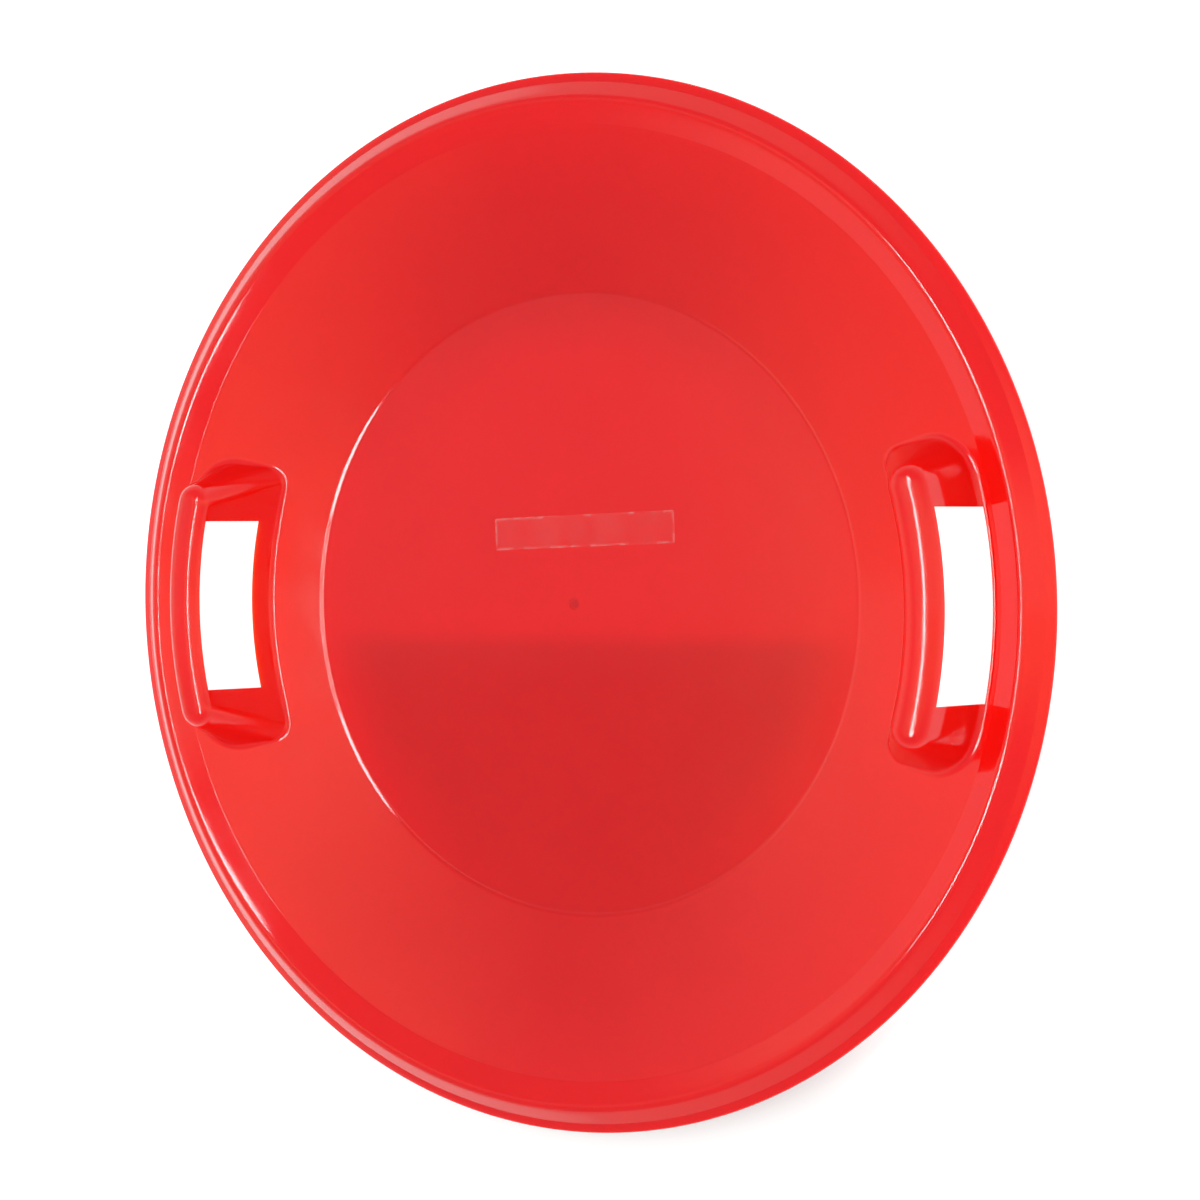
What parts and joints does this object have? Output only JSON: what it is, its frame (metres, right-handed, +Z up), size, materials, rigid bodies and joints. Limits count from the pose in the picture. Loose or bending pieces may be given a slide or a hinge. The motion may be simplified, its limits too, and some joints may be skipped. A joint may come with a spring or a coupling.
{
  "type": "saucer sled",
  "caption": "Round moulded plastic saucer sled: a shallow dish with a turned-down rim, raised hollow hand grips over finger slots, and a bare clear label film.",
  "frame": {"origin": "middle of the flat underside, on the ground that the sled lies on", "axes": "+Z up along the dish's axis, rider's side up; X runs through both hand grips, and +Y is towards the label film"},
  "size_m": [0.66, 0.66, 0.0738],
  "materials": {
    "red_plastic": "glossy moulded polyethylene",
    "clear_film": "clear adhesive film, bare"
  },
  "bodies": {
    "root": {"saucer": "red_plastic", "label_film": "clear_film"}
  },
  "joints": []
}
